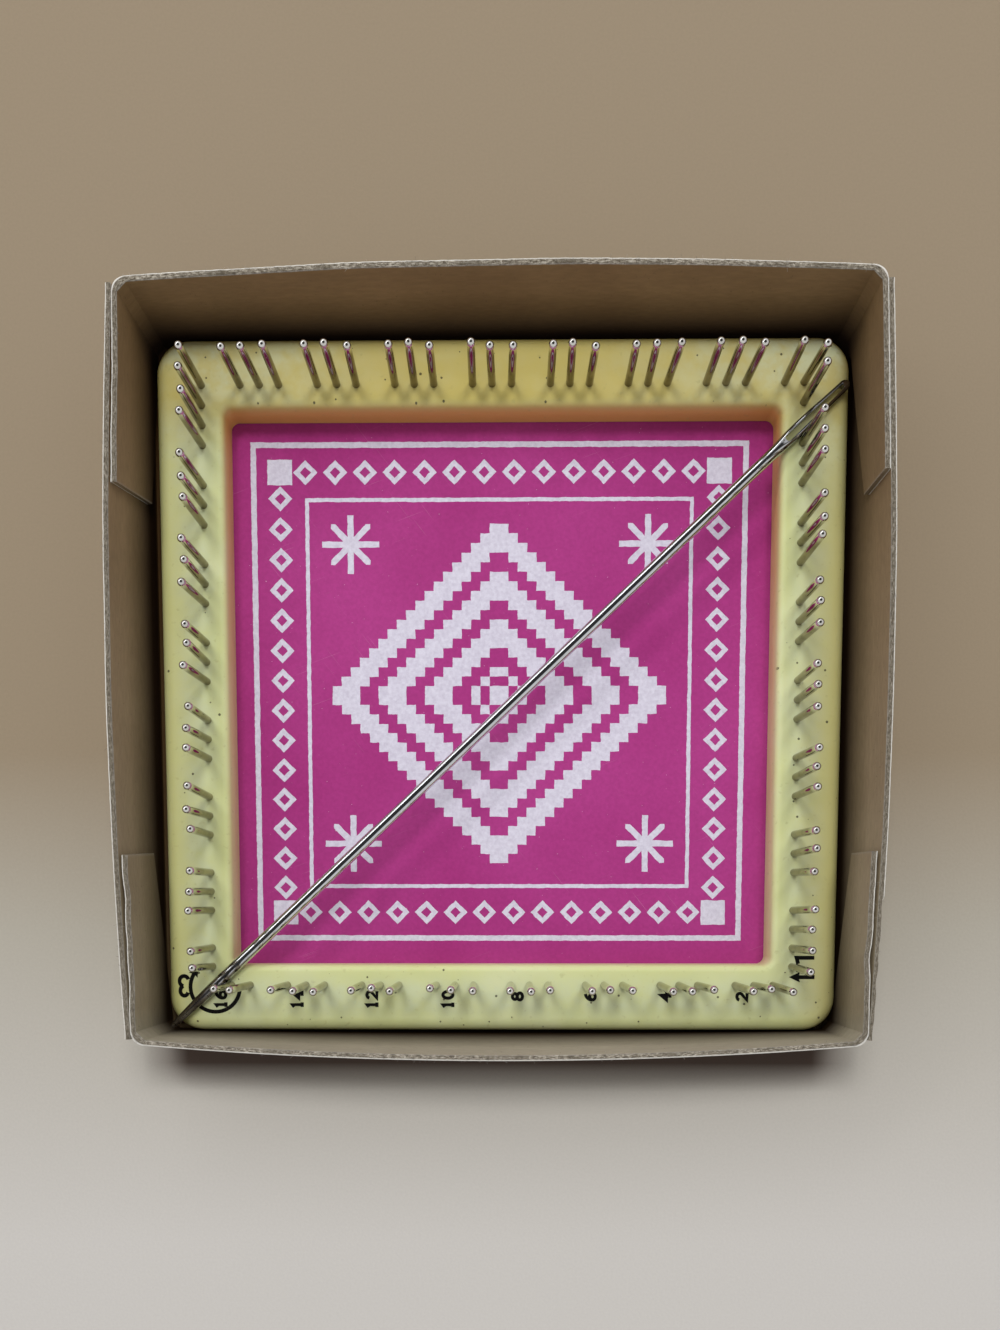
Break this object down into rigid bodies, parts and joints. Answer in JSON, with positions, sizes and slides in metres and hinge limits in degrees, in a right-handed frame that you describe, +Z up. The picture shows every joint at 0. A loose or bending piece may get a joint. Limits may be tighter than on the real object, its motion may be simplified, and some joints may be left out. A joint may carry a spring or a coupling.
{
  "type": "hand loom",
  "caption": "Square hand-held pin loom: moulded frame with rows of steel pins, a long eyed weaving needle and a printed card, lying in a folded board storage tray.",
  "frame": {"origin": "centre of the tray's underside, on the surface that it stands on", "axes": "+Z up along the pins and out of the tray's mouth; +Y towards the far side in the picture; +X to its right"},
  "size_m": [0.13, 0.1282, 0.0207],
  "materials": {
    "board": "matte",
    "printed_card": "satin",
    "moulded_frame": "satin",
    "pin_nickel": "polished",
    "needle_steel": "polished",
    "print_ink": "satin"
  },
  "bodies": {
    "tray": {"tray": "board"},
    "card": {"card": "printed_card"},
    "loom": {"frame": "moulded_frame", "pins_top_1": "pin_nickel", "pins_top_2": "pin_nickel", "pins_top_3": "pin_nickel", "pins_top_4": "pin_nickel", "pins_top_5": "pin_nickel", "pins_top_6": "pin_nickel", "pins_top_7": "pin_nickel", "pins_top_8": "pin_nickel", "pins_top_9": "pin_nickel", "pins_left_1": "pin_nickel", "pins_left_2": "pin_nickel", "pins_left_3": "pin_nickel", "pins_left_4": "pin_nickel", "pins_left_5": "pin_nickel", "pins_left_6": "pin_nickel", "pins_left_7": "pin_nickel", "pins_left_8": "pin_nickel", "pins_right_1": "pin_nickel", "pins_right_2": "pin_nickel", "pins_right_3": "pin_nickel", "pins_right_4": "pin_nickel", "pins_right_5": "pin_nickel", "pins_right_6": "pin_nickel", "pins_right_7": "pin_nickel", "pins_right_8": "pin_nickel", "pins_bottom_1": "pin_nickel", "pins_bottom_2": "pin_nickel", "pins_bottom_3": "pin_nickel", "pins_bottom_4": "pin_nickel", "pins_bottom_5": "pin_nickel", "pins_bottom_6": "pin_nickel", "pins_bottom_7": "pin_nickel", "pins_bottom_8": "pin_nickel"},
    "needle": {"needle": "needle_steel"}
  },
  "joints": [
    {"name": "loom_lift", "type": "slide", "parent": "tray", "child": "loom", "axis": [0, 0, 1], "range_m": [0, 0.04]},
    {"name": "needle_lift", "type": "slide", "parent": "loom", "child": "needle", "axis": [0, 0, 1], "range_m": [0, 0.02]},
    {"name": "card_lift", "type": "slide", "parent": "tray", "child": "card", "axis": [0, 0, 1], "range_m": [0, 0.022]}
  ],
  "couplings": [
    {"joint": "card_lift", "follows": "loom_lift", "ratio": 0.55}
  ]
}
